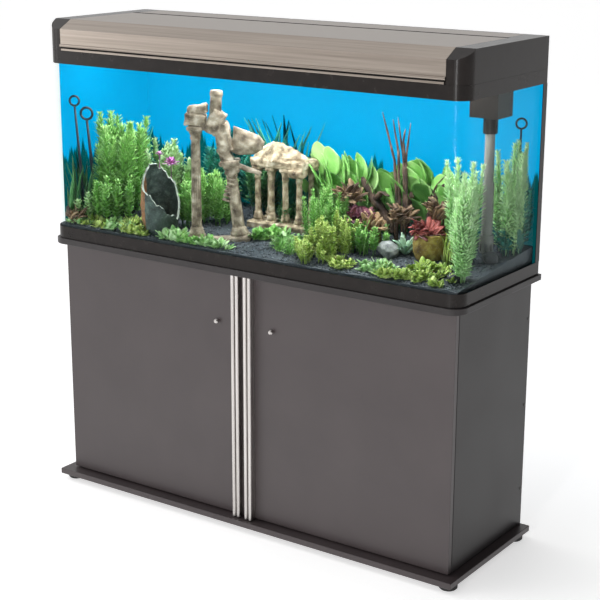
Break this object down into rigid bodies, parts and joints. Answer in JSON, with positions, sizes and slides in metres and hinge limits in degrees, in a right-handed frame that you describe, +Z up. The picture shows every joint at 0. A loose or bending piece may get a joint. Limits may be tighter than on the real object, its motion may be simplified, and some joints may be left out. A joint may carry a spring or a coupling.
{
  "type": "aquarium on stand",
  "caption": "Long glass aquarium with a hinged metal-look hood, overhead filter, ruins and blue backdrop, on a dark cabinet with doors and full-height pull strips.",
  "frame": {"origin": "floor level under the middle of the base board", "axes": "+X to the object's right seen from the front, +Y to its back, +Z up; the doors face -Y"},
  "size_m": [1.22, 0.4, 1.2436],
  "materials": {
    "dark_plastic": "moulded, satin gloss, very dark brown",
    "taupe_board": "board with a satin dark taupe laminate",
    "raw_board": "board with a plain matt laminate",
    "champagne": "champagne metallic, brushed lengthwise",
    "bright_metal": "polished extrusion",
    "steel": "nickel plated",
    "rubber": "matt",
    "glass": "float glass with a green edge",
    "clear_plastic": "clear sheet",
    "blue_film": "printed sheet, deep sky blue",
    "gravel": "coated gravel, dark blue-grey",
    "white_plastic": "moulded",
    "grey_plastic": "extruded tube",
    "lamp_glass": "opal coated tube",
    "sponge": "open-cell foam",
    "sandstone": "painted resin, weathered stone",
    "dark_clay": "painted resin, dark jar",
    "ochre_clay": "painted resin",
    "bark": "waterlogged driftwood",
    "grey_stone": "river stone",
    "plant_plastic": "soft plastic leaf",
    "coral_plastic": "soft plastic coral",
    "flower_plastic": "soft plastic flower"
  },
  "bodies": {
    "stand_and_tank": {"foot_front_left": "rubber", "foot_front_right": "rubber", "foot_rear_left": "rubber", "foot_rear_right": "rubber", "base_board": "taupe_board", "top_board": "taupe_board", "left_side_panel": "taupe_board", "right_side_panel": "taupe_board", "back_panel": "raw_board", "centre_divider": "raw_board", "left_shelf": "raw_board", "right_shelf": "raw_board", "left_lower_hinge_arm": "steel", "left_upper_hinge_arm": "steel", "right_lower_hinge_arm": "steel", "right_upper_hinge_arm": "steel", "bottom_rim": "dark_plastic", "top_rim": "dark_plastic", "front_and_side_glass": "glass", "back_glass": "glass", "bottom_glass": "glass", "background_film": "blue_film", "left_rear_corner_trim": "dark_plastic", "right_rear_corner_trim": "dark_plastic", "gravel_bed": "gravel", "column_ruin": "sandstone", "temple_ruin": "sandstone", "broken_jar": "dark_clay", "small_urn": "ochre_clay", "driftwood": "bark", "grey_stone": "grey_stone"},
    "left_door": {"left_door": "taupe_board", "left_door_handle": "bright_metal", "left_door_knob": "bright_metal", "left_lower_hinge_cup": "steel", "left_upper_hinge_cup": "steel"},
    "right_door": {"right_door": "taupe_board", "right_door_handle": "bright_metal", "right_door_knob": "bright_metal", "right_lower_hinge_cup": "steel", "right_upper_hinge_cup": "steel"},
    "hood": {"hood_body": "dark_plastic", "front_trim_strip": "champagne", "cable_gland": "rubber", "left_lid_pin": "steel", "right_lid_pin": "steel", "light_housing": "white_plastic", "front_fluorescent_tube": "lamp_glass", "rear_fluorescent_tube": "lamp_glass", "splash_guard": "clear_plastic", "filter_tray": "dark_plastic", "filter_sponge": "sponge", "pump_housing": "dark_plastic", "outlet_elbow": "grey_plastic", "intake_tube": "grey_plastic"},
    "lid": {"hood_lid": "champagne"},
    "rear_cover": {"rear_cover": "champagne"},
    "impeller": {"pump_impeller": "white_plastic"},
    "intake_end": {"intake_sleeve": "grey_plastic", "intake_strainer": "grey_plastic"}
  },
  "joints": [
    {"name": "left_door_hinge", "type": "hinge", "parent": "stand_and_tank", "child": "left_door", "pos_m": [-0.585, -0.168, 0.348], "axis": [0, 0, -1], "range_deg": [0, 100]},
    {"name": "right_door_hinge", "type": "hinge", "parent": "stand_and_tank", "child": "right_door", "pos_m": [0.585, -0.168, 0.348], "axis": [0, 0, 1], "range_deg": [0, 100]},
    {"name": "hood_lift", "type": "slide", "parent": "stand_and_tank", "child": "hood", "axis": [0, 0, 1], "range_m": [0, 0.45]},
    {"name": "lid_hinge", "type": "hinge", "parent": "hood", "child": "lid", "pos_m": [0, 0.088, 1.2376], "axis": [-1, 0, 0], "range_deg": [0, 85]},
    {"name": "rear_cover_lift", "type": "slide", "parent": "hood", "child": "rear_cover", "axis": [0, 0, 1], "range_m": [0, 0.1]},
    {"name": "impeller_spin", "type": "hinge", "parent": "hood", "child": "impeller", "pos_m": [0.535, 0.055, 1.1], "axis": [0, 0, 1], "continuous": true},
    {"name": "intake_telescope", "type": "slide", "parent": "hood", "child": "intake_end", "axis": [0, 0, 1], "range_m": [0, 0.05]}
  ]
}
